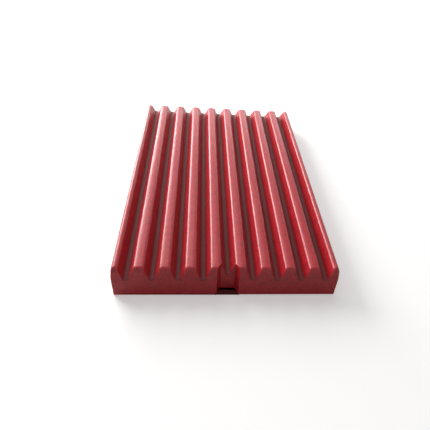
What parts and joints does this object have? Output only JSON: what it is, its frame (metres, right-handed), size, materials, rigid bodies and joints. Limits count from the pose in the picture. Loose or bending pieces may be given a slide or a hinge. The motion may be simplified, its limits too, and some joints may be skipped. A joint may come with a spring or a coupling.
{
  "type": "jaw crusher plate",
  "caption": "Jaw plate of a jaw crusher: a red cast manganese steel slab with deep lengthwise crushing ridges, bevelled clamping ends and a locating notch in the lower end.",
  "frame": {"origin": "centre of the flat back face, which is also the centre of the base of the bounding box", "axes": "+X across the ridges, +Y along the ridges from the notched lower end to the upper end, +Z out of the back face towards the ridge crowns"},
  "size_m": [0.595, 0.8982, 0.084],
  "materials": {
    "red_paint": "gloss"
  },
  "bodies": {
    "root": {"jaw_plate": "red_paint"}
  },
  "joints": []
}
